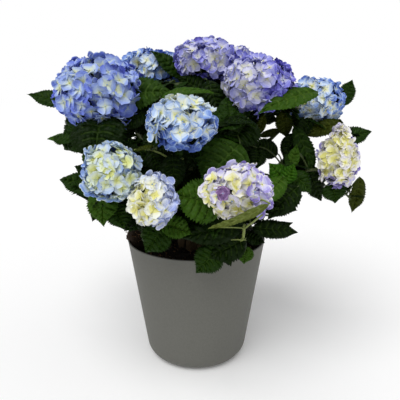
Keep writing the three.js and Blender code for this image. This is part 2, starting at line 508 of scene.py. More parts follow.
def strewBed(heap, edge):
    count = soil["crumbs"]
    away = np.sqrt(rng.uniform(*soil["crumbReach"], count)) * edge
    way = rng.uniform(0, 2 * np.pi, count)
    height = soil["crown"] + soil["crumbLift"] \
        - soil["crumbDrop"] * smoothStep(0.5, 1, away / edge)
    scatterCrumbs(heap, turned(away, way, height), *soil["crumbSize"], soil["crumbTones"])


def makeClod(heap):
    rows, columns = soil["clodGrid"]
    polar = np.linspace(0.03, np.pi - 0.03, rows)[:, None]
    ball = turned(np.sin(polar), bearings(columns), -np.cos(polar)).reshape(-1, 3)
    swell = 1 + 0.14 * rumple(ball, 3.0, 3) + 0.07 * rumple(ball, 7.0, 11)
    clod = np.array(soil["clodPlace"]) + ball * np.array(soil["clodSize"]) * swell[:, None]
    onRim = np.hypot(clod[:, 0], clod[:, 1]) > potRadius(pot["height"]) - soil["rimLand"]
    clod[:, 2] = np.where(onRim & (clod[:, 2] < soil["rimTop"]), soil["rimTop"], clod[:, 2])
    pile(heap, clod, gridFaces(rows, columns, True)[0][:, ::-1], 1)
    return clod


def strewClod(heap, clod):
    # crumbs and loose fibres of bark, kept above the rim
    picks = clod[rng.choice(len(clod), soil["clodCrumbs"])]
    picks = picks[picks[:, 2] > pot["height"]]
    scatterCrumbs(heap, picks, *soil["clodCrumbSize"], soil["clodCrumbTones"])
    for fibre in range(soil["fibres"]):
        start = picks[rng.integers(len(picks))]
        bend = start + rng.normal(0, soil["fibreBends"][0], 3)
        end = bend + rng.normal(0, soil["fibreBends"][1], 3)
        path = bezier(start, bend, end, 6)
        path[:, 2] = np.maximum(path[:, 2], soil["rimTop"])
        path[:, 0] = np.maximum(path[:, 0], -soil["fibreReach"])
        points, faces = tube(path, soil["fibreRadius"], 3)
        pile(heap, points, faces, 2)


def soilFinishes():
    dark = mottledMaterial("soilDark", soil["toneDark"], soil["tone"], *soil["surface"],
                           soil["bump"])
    brown = newMaterial("soilBrown", soil["tone"], *soil["surface"])
    addBump(brown, *soil["brownBump"])
    return [dark, brown, newMaterial("soilFibre", soil["fibreTone"], *soil["fibreSurface"])]


def makeSoil():
    heap = newHeap()
    edge = potRadius(soil["edge"]) - pot["wall"] - soil["gap"]
    makeBed(heap, edge)
    strewBed(heap, edge)
    strewClod(heap, makeClod(heap))
    makePiece("pottingSoil", heap, soilFinishes(), ["soil", "soil_clod"],
              smooth=False)


makeSoil()


# canes

cane = {
    "ringRadius": 0.034,
    "footHeight": 0.291,
    "footRadius": 0.0072,
    "tipRadius": 0.0030,
    "forkRadius": 0.0046,
    "insideHead": 0.2,
    "sides": 12,
    "rings": 70,
    "line": 101,
    "bend": (0.36, 0.66),  # how far out and how far up the bend of a cane lies
    "sunk": 0.03,
    "nodeSpacing": 0.062,
    "nodeSwell": 0.34,
    "nodeWidth": 0.07,
    "ridges": ((0.05, 5, 40), (0.035, 9, -90)),  # height, number round, turn along
    "specks": (0.05, 7, 3, 300),
    "barkTop": 0.37,
    "barkStep": 0.02,
    "stemSides": 36,
    "stemScale": 0.96,
    "lumps": (0.10, 9, 0.4),
    "fineLumps": (0.05, 17, 60),
    "stem": ((0.036, 0.245), (0.043, 0.262), (0.045, 0.274), (0.044, 0.284), (0.041, 0.291),
             (0.032, 0.296), (0.003, 0.298)),  # radius and height
    "old": (74, 60, 40),
    "oldLight": (100, 84, 58),
    "green": (50, 58, 24),
    "greenLight": (72, 82, 36),
    "oldSurface": (0.8, 0.3),
    "oldBump": (300, 0.0008, 4.0, (1, 1, 0.25)),
    "greenSurface": (0.6, 0.4),
    "greenBump": (260, 0.0004, 3.0, (1, 1, 0.3)),
}

# each head: centre, full size, the cane's bearing on the stem or the cane it forks from
heads = {
    "left": {"at": (-0.197, -0.060, 0.627), "size": (0.189, 0.172, 0.147), "foot": -80},
    "front_upper": {"at": (-0.026, -0.190, 0.570), "size": (0.139, 0.130, 0.110), "foot": 0},
    "front_low_left": {"at": (-0.156, -0.220, 0.484), "size": (0.123, 0.110, 0.117),
                       "foot": -40},
    "front_low_right": {"at": (0.070, -0.270, 0.460), "size": (0.130, 0.108, 0.106),
                        "foot": 40},
    "top_right": {"at": (0.127, -0.040, 0.641), "size": (0.156, 0.148, 0.124), "foot": 80},
    "right_upper": {"at": (0.279, 0.040, 0.605), "size": (0.124, 0.124, 0.107),
                    "foot": 120},
    "top": {"at": (0.020, 0.060, 0.693), "size": (0.150, 0.140, 0.106), "foot": 160},
    "back": {"at": (-0.020, 0.255, 0.575), "size": (0.150, 0.140, 0.116), "foot": -160},
    "back_left": {"at": (-0.222, 0.180, 0.596), "size": (0.150, 0.140, 0.116),
                  "foot": -120},
    "front_low": {"at": (-0.076, -0.250, 0.441), "size": (0.094, 0.096, 0.106),
                  "from": "front_low_left", "share": 0.4},
    "right": {"at": (0.296, -0.080, 0.491), "size": (0.096, 0.108, 0.132),
              "from": "right_upper", "share": 0.3},
    "top_left": {"at": (-0.112, 0.120, 0.675), "size": (0.136, 0.120, 0.098),
                 "from": "top", "share": 0.4},
    "top_back": {"at": (0.097, 0.140, 0.696), "size": (0.088, 0.096, 0.068),
                 "from": "top", "share": 0.5},
    "back_right": {"at": (0.160, 0.215, 0.622), "size": (0.140, 0.130, 0.108),
                   "from": "top", "share": 0.3},
    "back_low_left": {"at": (-0.195, 0.225, 0.400), "size": (0.120, 0.116, 0.098),
                      "from": "back_left", "share": 0.3},
    "back_low_right": {"at": (0.105, 0.255, 0.385), "size": (0.124, 0.116, 0.100),
                       "from": "back", "share": 0.3},
}


def caneLine(head):
    # from the stem, or from a share of the way up another cane, to just inside the head
    centre, size = np.array(head["at"]), head["size"]
    end = centre + unit(np.array([-centre[0], -centre[1], 0])) * size[0] * cane["insideHead"]
    end[2] -= size[2] * cane["insideHead"]
    if "from" in head:
        parent = canePaths[head["from"]]
        start = parent[int(round(head["share"] * (len(parent) - 1)))]
    else:
        bearing = math.radians(head["foot"])
        start = np.array([cane["ringRadius"] * math.sin(bearing),
                          -cane["ringRadius"] * math.cos(bearing), cane["footHeight"]])
    out, rise = cane["bend"]
    middle = start + (end - start) * np.array([out, out, rise])
    return evenly(bezier(start, middle, end, 200), cane["line"])


canePaths = {}
for name, head in heads.items():
    canePaths[name] = caneLine(head)


def barkRelief(length, rings, variant):
    # ridges and swollen joints, as shares of the radius
    along = np.linspace(0, length, rings)[:, None]
    turn = bearings(cane["sides"])
    ridges = sum(high * np.sin(count * turn + slant * along + order * variant)
                 for order, (high, count, slant) in enumerate(cane["ridges"], 1))
    joints = (along % cane["nodeSpacing"]) / cane["nodeSpacing"]
    swell = cane["nodeSwell"] * np.exp(-((joints - 0.5) / cane["nodeWidth"]) ** 2)
    high, count, slant, beat = cane["specks"]
    specks = high * np.sin(beat * along + slant * turn + variant) * np.sin(count * turn + variant)
    return ridges + swell + specks


def growCane(heap, number, path, forked):
    # the foot is sunk in the stem or in the parent cane; old bark below, green above
    line = evenly(path, cane["rings"])
    if not forked:
        line = np.concatenate([[line[0] - [0, 0, cane["sunk"]]], line])
    length = np.linalg.norm(np.diff(line, axis=0), axis=1).sum()
    foot = cane["forkRadius"] if forked else cane["footRadius"]
    radii = np.linspace(foot, cane["tipRadius"], len(line))
    relief = barkRelief(length, len(line), number * 1.7)
    points, faces = tube(line, radii, cane["sides"], relief)
    barkTop = cane["barkTop"] + cane["barkStep"] * (number % 4)
    pile(heap, points, faces, np.where(points[faces].mean(1)[:, 2] < barkTop, 0, 1))


def growStem(heap):
    # the short lumpy stem that the canes rise from
    radius, height = np.array(cane["stem"]).T[:, :, None]
    turn = bearings(cane["stemSides"])
    high, count, shift = cane["lumps"]
    fineHigh, fineCount, slant = cane["fineLumps"]
    lumps = 1 + high * np.sin(count * turn + shift) \
        + fineHigh * np.sin(fineCount * turn + slant * height)
    points = turned(radius * lumps * cane["stemScale"], turn, height)
    pile(heap, points, gridFaces(len(radius), cane["stemSides"], True)[0], 0)


def caneFinishes():
    return [mottledMaterial(name, cane[tone], cane[tone + "Light"], *cane[tone + "Surface"],
                            cane[tone + "Bump"])
            for name, tone in (("caneBark", "old"), ("caneGreen", "green"))]


def makeCanes():
    heap = newHeap()
    for number, (name, path) in enumerate(canePaths.items()):
        growCane(heap, number, path, "from" in heads[name])
    growStem(heap)
    makePiece("canes", heap, caneFinishes(),
              ["stem"] + ["cane_" + name for name in heads])


makeCanes()


# leaves

leaf = {
    "veins": 7,
    "veinRows": (0, 0.13, 0.38, 0.62, 0.87),  # rows within the step from one vein to the next
    "veinStart": 0.035,
    "veinReach": 0.885,
    "veinPacking": 0.97,
    "tipRows": (0.955, 0.98, 1),
    "veinSweep": 0.15,
    "veinBend": 1.3,
    "veinWidth": 0.14,
    "veinEnd": 0.7,
    "outline": (0.84, 0.74),
    "tipNarrowing": 0.45,
    "tipSpan": (0.70, 0.97),
    "quilt": 0.072,
    "pillow": (0.6, 0.45, 0.4),
    "pillowHeight": 1.9,
    "groove": 0.25,
    "tooth": 0.075,
    "toothLean": 0.4,
    "curlPower": 2.6,
    "waves": 1.6,
    "waveShift": 1.7,  # between the two halves
    "placedStrips": (0.035, 0.2, 0.4, 0.62, 0.84, 1),
    "grownStrips": (0.035, 0.3, 0.65, 1),  # grown leaves are plainer
    "stalkRadius": 0.0016,
    "shootRadius": 0.0021,
    "stalkTaper": 1.25,
    "stalkReach": 0.4,
    "stalkBend": 0.75,
    "stalkOnward": 0.1,
    "limbBelow": 0.005,
    "limbHigher": 0.4,
    "stalkRings": 8,
    "stalkSides": 5,
    "surface": (0.46, 0.07),
    "netScale": 120,
    "netDepth": 0.0065,
    "tries": 10,
    "placedKey": (7, 7),
    # the deep tint is partly the leaves' own dark green and partly painted shade; the bright tint is
    # partly their own green and partly painted light
    "tints": {
        "deep": ((16, 32, 4), (38, 57, 15)),
        "mid": ((27, 50, 7), (46, 70, 18)),
        "quilted": ((40, 65, 14), (62, 88, 30)),
        "bright": ((50, 80, 16), (67, 95, 28)),
        "young": ((42, 80, 8), (72, 110, 30)),
        "olive": ((46, 55, 6), (64, 73, 18)),
        "under": ((98, 110, 48), (114, 126, 62)),
    },
    "paleStalks": ("under", "young"),
    "stalkTone": (58, 72, 30),
    "paleStalkTone": (128, 142, 74),
    "stalkSurface": (0.5, 0.35),
    "stalkBump": (300, 0.0003),
}
tintNames = list(leaf["tints"])


def leafGrid(strips):
    # rows follow the side veins; across, the two narrow strips are the midrib
    phase = np.array([vein + row for vein in range(leaf["veins"]) for row in leaf["veinRows"]]
                     + [leaf["veins"]], float)
    middle = leaf["veinStart"] + leaf["veinReach"] * (phase / leaf["veins"]) ** leaf["veinPacking"]
    middle = np.concatenate([[0], middle, leaf["tipRows"]])
    phase = np.concatenate([[0], phase, [leaf["veins"]] * len(leaf["tipRows"])])
    return middle, phase, np.array([-s for s in strips[::-1]] + [0, *strips])


def outline(s):
    # the half width from the base, 0, to the tip, 1
    shift, power = leaf["outline"]
    width = np.sin(np.pi * np.clip(s, 0, 1) ** shift) ** power
    return width * (1 - leaf["tipNarrowing"] * smoothStep(*leaf["tipSpan"], s))


def paleFaces(phase, size, row, column):
    # the midrib and the side veins
    onRib = (column == len(size) // 2 - 1) | (column == len(size) // 2)
    near, nearNext = [np.minimum(phase[r] % 1, 1 - phase[r] % 1) for r in (row, row + 1)]
    onVein = (np.maximum(near, nearNext) < leaf["veinWidth"]) & (row > 1) \
        & (row < len(phase) - len(leaf["tipRows"]) - 1) \
        & (np.maximum(size[column], size[column + 1]) < leaf["veinEnd"])
    return onRib | onVein


def leafPattern(strips):
    # what all the leaves of one fineness share: a leaf of length 1 and half width 1
    middle, phase, side = leafGrid(strips)
    size = np.abs(side)
    edge = middle + leaf["veinSweep"] * np.sin(np.pi * middle)
    teeth = np.where(np.arange(len(middle)) % 2 == 0, 1.0, -1.0) * np.sin(np.pi * edge) ** 0.5
    alongPower, inPower, outPower = leaf["pillow"]
    pillow = np.sin(np.pi * (phase % 1))[:, None] ** alongPower \
        * (size ** inPower * (1 - size) ** outPower * leaf["pillowHeight"])[None]
    groove = leaf["groove"] * (size <= min(strips))[None]
    faces, row, column = gridFaces(len(middle), len(side))
    return {
        "side": side[None],
        "size": size[None],
        "along": middle[:, None] + (edge - middle)[:, None] * size[None] ** leaf["veinBend"],
        "width": outline(edge)[:, None],
        "teeth": (size == 1).astype(float)[None] * teeth[:, None],
        "quilt": pillow - groove,
        "faces": faces,
        "pale": paleFaces(phase, size, row, column),
    }


def leafPoints(spec, pattern):
    along, size, width = pattern["along"], pattern["size"], pattern["width"]
    length, half = spec["length"], spec["width"] / 2
    hump = 4 * along * (1 - along)
    x = width * pattern["side"] * half * (1 + leaf["tooth"] * pattern["teeth"])
    y = along * length + leaf["tooth"] * leaf["toothLean"] * half * pattern["teeth"]
    z = leaf["quilt"] * half * 2 * pattern["quilt"]
    z = z + np.abs(x) * math.tan(math.radians(spec["fold"]))
    z = z - spec["curl"] * half * size ** leaf["curlPower"] * width
    z = z + spec["wave"] * half * size ** 2 * np.sin(
        2 * np.pi * (leaf["waves"] * along + spec["phase"])
        + leaf["waveShift"] * np.sign(pattern["side"]))
    z = z + spec["arch"] * length * hump
    x = x + spec["sway"] * length * hump
    twist = spec["twist"] * (along - 0.5)
    x, z = x * np.cos(twist) - z * np.sin(twist), x * np.sin(twist) + z * np.cos(twist)
    ahead = unit(spec["way"])
    across = unit(np.cross(ahead, spec["face"]))
    up = np.cross(across, ahead)
    return spec["base"] + x[..., None] * across + y[..., None] * ahead + z[..., None] * up


def growLeaves(heap, specs, strips):
    pattern = leafPattern(strips)
    for spec in specs:
        pile(heap, leafPoints(spec, pattern), pattern["faces"],
             2 * tintNames.index(spec["tint"]) + pattern["pale"])


def leafSpec(base, tip, width, face, tint, **more):
    spec = {"base": base, "tip": tip, "way": tip - base,
            "length": np.linalg.norm(tip - base), "width": width, "face": face,
            "tint": tint, "placed": False, "fold": 8.0, "curl": 0.12, "wave": 0.06,
            "phase": rng.uniform(), "arch": 0.05, "sway": rng.normal(0, 0.012),
            "twist": rng.normal(0, 0.12)}
    spec.update(more)
    return spec


# leaf masses filled by shoots: how many shoots, pairs of leaves on each, leaf length
masses = {
    "far_left": (1, 1, 0.085),
    "left": (4, 2, 0.105),
    "low_left": (3, 2, 0.100),
    "rim_left": (3, 2, 0.085),
    "rim_front": (1, 2, 0.080),
    "rim_right": (3, 2, 0.085),
    "low_right": (2, 2, 0.085),
    "right": (4, 2, 0.085),
    "upper_right": (2, 2, 0.085),
    "far_right": (2, 2, 0.090),
    "far_right_top": (1, 1, 0.060),
    "upper_left": (8, 3, 0.115),
    "upper_middle": (8, 3, 0.110),
    "centre": (8, 3, 0.115),
    "inner_left": (8, 3, 0.115),
    "inner_right": (8, 3, 0.110),
    "back_left": (9, 3, 0.135),
    "back": (9, 3, 0.135),
    "back_right": (8, 3, 0.130),
    "back_low_left": (9, 3, 0.130),
    "back_low_right": (9, 3, 0.130),
    "low_far_right": (6, 3, 0.105),
    "between": (9, 3, 0.110),
    "footLeft": (7, 2, 0.105),
    "footRight": (7, 2, 0.105),
    "footFront": (6, 2, 0.100),
    "footBack": (8, 3, 0.110),
}

# masses that stand between the solids rather than in one
rooms = {
    "between": ((-0.15, -0.06, 0.35), (0.13, 0.14, 0.58)),
    "footLeft": ((-0.16, -0.10, 0.29), (0.00, 0.16, 0.46)),
    "footRight": ((0.00, -0.12, 0.29), (0.14, 0.16, 0.46)),
    "footFront": ((-0.15, -0.22, 0.32), (0.12, -0.04, 0.46)),
    "footBack": ((-0.15, 0.04, 0.29), (0.15, 0.24, 0.46)),
}
massBox = {name: [np.array(corner) for corner in rooms.get(name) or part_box("leaves_" + name)]
           for name in masses}
headBox = {name: [np.array(head["at"]) + side * np.array(head["size"]) / 2 for side in (-1, 1)]
           for name, head in heads.items()}
leafGroups = {name: [] for name in ("Left", "Front", "Right", "Top", "Back", "Low")}
limbPaths = dict(canePaths)
stalkLines = []

shownHeads = ("left", "front_upper", "front_low_left", "front_low_right", "top_right",
              "right_upper", "top", "front_low", "right", "top_left")

# where the sky shows through the crown: across, down and radius, in pixels of the view
skyGaps = ((137, 140, 5), (272, 127, 6), (350, 118, 9), (75, 207, 8), (292, 130, 4),
           (286, 140, 4), (279, 148, 4), (268, 162, 8), (316, 143, 8), (324, 148, 6),
           (283, 219, 6), (270, 218, 3), (343, 203, 6), (60, 116, 5), (54, 129, 6))

# how near to other things a grown leaf may come
limits = {
    "crown": 0.99,  # 1 is the skin of a box's own ellipsoid
    "head": 0.90,
    "seenHead": 0.92,
    "wallTop": 0.294,
    "wallFrom": potRadius(0.28) - 0.012,
    "wallTo": 0.168,
    "soilTop": 0.272,
    "soilTo": 0.160,
}

# the planes that part the crown into its pieces
regions = {"lowTop": 0.385, "backFrom": 0.095, "topFrom": 0.56, "topReach": 0.24, "side": 0.12}


def howDeep(points, box):
    # 0 in the middle of a box's own ellipsoid and 1 on its skin
    centre, half = (box[0] + box[1]) / 2, (box[1] - box[0]) / 2
    return np.linalg.norm((points - centre) / half, axis=-1)


def insideCrown(points):
    boxes = list(massBox.values()) + list(headBox.values())
    return bool((np.min([howDeep(points, box) for box in boxes], 0) < limits["crown"]).all())


def clearOfHeads(points):
    # at most one point of a leaf lies in a flower head
    return all((howDeep(points, box) < limits["head"]).sum() < 2 for box in headBox.values())


def clearOfSky(points):
    return all(np.hypot(*(seenFrom(points) - gap[:2]).T).min() > gap[2] for gap in skyGaps)


def clearOfView(points):
    # no grown leaf stands before a flower head that shows
    seen = seenFrom(points)
    for name in shownHeads:
        centre, half = np.array(heads[name]["at"]), np.array(heads[name]["size"]) / 2
        middle = seenFrom(centre[None])[0]
        scale = view["focal"] / (centre[1] - view["place"][1])
        inside = np.hypot((seen[:, 0] - middle[0]) / (half[0] * scale),
                          (seen[:, 1] - middle[1]) / (half[2] * scale)) < limits["seenHead"]
        if (inside & (points[:, 1] < centre[1])).any():
            return False
    return True


def clearOfPot(points):
    out, height = np.hypot(points[:, 0], points[:, 1]), points[:, 2]
    throughWall = (height < limits["wallTop"]) & (out > limits["wallFrom"]) \
        & (out < limits["wallTo"])
    throughSoil = (height < limits["soilTop"]) & (out < limits["soilTo"])
    return not (throughWall | throughSoil).any()


def regionOf(place):
    if place[2] < regions["lowTop"]:
        return "Low"
    if place[1] > regions["backFrom"]:
        return "Back"
    if place[2] > regions["topFrom"] and abs(place[0]) < regions["topReach"]:
        return "Top"
    if place[0] < -regions["side"]:
        return "Left"
    return "Right" if place[0] > regions["side"] else "Front"


def nearestLimb(point, besides=""):
    # the limb point a leaf stalk would rise from: close by, and preferably lower
    nearest, best = math.inf, None
    for name, path in limbPaths.items():
        if besides and name.startswith(besides):
            continue
        usable = path[len(path) // 8: -2]
        away = np.linalg.norm(usable - point, axis=1)
        higher = np.maximum(0, usable[:, 2] - point[2] + leaf["limbBelow"])
        away = away + higher * leaf["limbHigher"]
        i = int(np.argmin(away))
        if away[i] < nearest:
            nearest, best = away[i], usable[i]
    return best


def addStalk(start, end, way, tone):
    reach = np.linalg.norm(end - start) * leaf["stalkReach"]
    # no loop where the blade turns back
    onward = max(leaf["stalkOnward"], float(unit(way) @ unit(end - start)))
    bend = (end - unit(way) * reach * onward) * leaf["stalkBend"] \
        + (start + (0, 0, reach)) * (1 - leaf["stalkBend"])
    stalkLines.append((bezier(start, bend, end, 8), leaf["stalkRadius"], tone))


# how the leaves on shoots vary; "scatter" and "shorter" grow with each new try
grown = {
    "length": (0.72, 1.12),
    "shorter": 0.05,
    "width": (0.60, 0.72),
    "stalk": 0.2,
    "scatter": (0.10, 0.07),
    "faceScatter": 0.16,
    "face": (0.9, 0.45, 0.1),  # up, outward and back along the leaf
    "widest": 0.55,
    "fold": (4, 14),
    "curl": (0.05, 0.25),
    "wave": (0.04, 0.12),
    "arch": (0.02, 0.09),
    "chance": 0.7,
    "lightFrom": 0.35,
    "lightSpan": 0.4,
    "midFrom": 0.42,
    "brightFrom": 0.82,
    "lean": (0.60, 0.25),  # the pair at the end of a shoot, and those below
    "outward": 0.35,
    "droop": (0.05, 0.1),  # and more for each pair
    "turnScatter": 0.2,
    "shootReach": (0.5, 0.1),  # in a mass of several shoots, and of one
    "shootRise": 0.02,
    "shootUp": 0.03,
    "rootScatter": 0.02,
}


def tintFor(place):
    # painted light and shade: darker greens low in the crown where shade falls, brighter ones up where
    # the light falls
    light = (place[2] - grown["lightFrom"]) / grown["lightSpan"]
    pick = rng.uniform() * grown["chance"] + (1 - grown["chance"]) * light
    if pick < grown["midFrom"]:
        return "deep"
    return "mid" if pick < grown["brightFrom"] else "bright"


def tryLeaf(at, way, outward, length):
    for attempt in range(leaf["tries"]):
        long = length * rng.uniform(*grown["length"]) * (1 - grown["shorter"] * attempt)
        scatter = grown["scatter"][0] + grown["scatter"][1] * attempt
        aim = unit(way + rng.normal(0, scatter, 3))
        base = at + aim * long * grown["stalk"]
        tip = base + aim * long
        up, out, back = grown["face"]
        face = unit(np.array([0, 0, up]) + outward * out - aim * back
                    + rng.normal(0, grown["faceScatter"], 3))
        wide = long * rng.uniform(*grown["width"])
        across = unit(np.cross(aim, face)) * wide / 2
        widest = base * (1 - grown["widest"]) + tip * grown["widest"]
        probe = np.array([base, tip, widest + across, widest - across, (base + tip) / 2,
                          (widest + tip) / 2 + across / 2, (widest + tip) / 2 - across / 2])
        if (insideCrown(probe) and clearOfHeads(probe) and clearOfPot(probe)
                and clearOfSky(probe) and clearOfView(probe)):
            tint = tintFor(base)
            shape = {key: rng.uniform(*grown[key]) for key in ("fold", "curl", "wave", "arch")}
            return leafSpec(base, tip, wide, face, tint, **shape)
    return None


def shootLine(box, reach):
    # a way from the nearest limb into a mass that doesn't cross the gaps or the heads
    centre, half = (box[0] + box[1]) / 2, (box[1] - box[0]) / 2
    for attempt in range(leaf["tries"]):
        end = centre + unit(rng.normal(size=3)) * half * reach
        start = nearestLimb(end + rng.normal(0, grown["rootScatter"], 3), "frontPale")
        line = bezier(start, start * 0.5 + end * 0.5 + [0, 0, grown["shootRise"]], end, 12)
        if clearOfSky(line) and clearOfView(line):
            return line
    return None


def growShoot(name, number, shoots, pairs, length):
    startDraws(list(masses).index(name), number)
    several, single = grown["shootReach"]
    line = shootLine(massBox[name], several if shoots > 1 else single)
    if line is None:
        return 0
    limbPaths[f"{name}{number}"] = line
    stalkLines.append((line, leaf["shootRadius"], 0))
    middle = (massBox[name][0] + massBox[name][1]) / 2
    outward = unit(np.array([middle[0], middle[1], 0.0]))
    ahead = unit(line[-1] - line[0] + [0, 0, grown["shootUp"]])
    side = unit(np.cross(ahead, (0.2, 0.1, 1.0)))
    up = np.cross(side, ahead)
    turn = rng.uniform(0, np.pi)
    count = 0
    for pair in range(pairs):
        at = line[-1 - 2 * pair]
        turn += np.pi / 2  # each pair stands crosswise to the last
        for bearing in (turn, turn + np.pi):
            bearing += rng.normal(0, grown["turnScatter"])
            around = side * math.cos(bearing) + up * math.sin(bearing)
            droop = grown["droop"][0] + grown["droop"][1] * pair
            way = unit(around + ahead * grown["lean"][min(pair, 1)]
                       + outward * grown["outward"] - [0, 0, droop])
            spec = tryLeaf(at, way, outward, length)
            if spec:
                leafGroups[regionOf((spec["base"] + spec["tip"]) / 2)].append(spec)
                addStalk(at, spec["base"], spec["way"], 0)
                count += 1
    return count


# shoots and leaf stalks with a place of their own: points seen at (across, down) and
# their depths, the radius, and where they spring from if not from the nearest limb
placedShoots = {
    "frontPale": {"seen": ((226, 252), (247, 245), (244.5, 225)),
                  "depths": (-0.13, -0.207, -0.222), "radius": 0.0030,
                  "from": (0.03, -0.03, 0.288)},
    "frontPaleLeft": {"seen": ((245, 228), (229, 227), (212, 227.5)),
                      "depths": (-0.220, -0.222, -0.220), "radius": 0.0012},
    "frontPaleLow": {"seen": ((246, 240), (234, 239), (221, 240.5)),
                     "depths": (-0.208, -0.212, -0.208), "radius": 0.0012},
    "frontPaleRight": {"seen": ((246, 227), (253, 222), (262, 215)),
                       "depths": (-0.222, -0.260, -0.320), "radius": 0.0016},
    "leftPale": {"seen": ((174, 162), (153, 145), (134, 150)),
                 "depths": (-0.15, -0.175, -0.165), "radius": 0.0018},
}
for name, item in placedShoots.items():
    low, bend, high = [seenAt(*spot, depth) for spot, depth in zip(item["seen"], item["depths"])]
    start = np.array(item["from"]) if "from" in item else nearestLimb(low)
    line = np.concatenate([bezier(start, (start + low) / 2, low, 6)[:-1],
                           bezier(low, bend, high, 10)])
    limbPaths[name] = line
    stalkLines.append((line, item["radius"], 1))

shootLeaves = sum(growShoot(name, number, *plan) for name, plan in masses.items()
                  for number in range(plan[0]))
print(f"{shootLeaves} leaves grown on shoots")


# placed leaves take the deep tint, partly painted shade, unless another is given
def leafAt(base, tip, depths, width, tint="deep", face=(0, -0.85, 0.5), arch=0.05, fold=6):
    # the pixels of the view where the base and the tip are seen, how far along +Y each
    # lies, and the real width
    return {"seen": (base, tip), "depths": depths, "width": width, "tint": tint,
            "face": face, "arch": arch, "fold": fold}


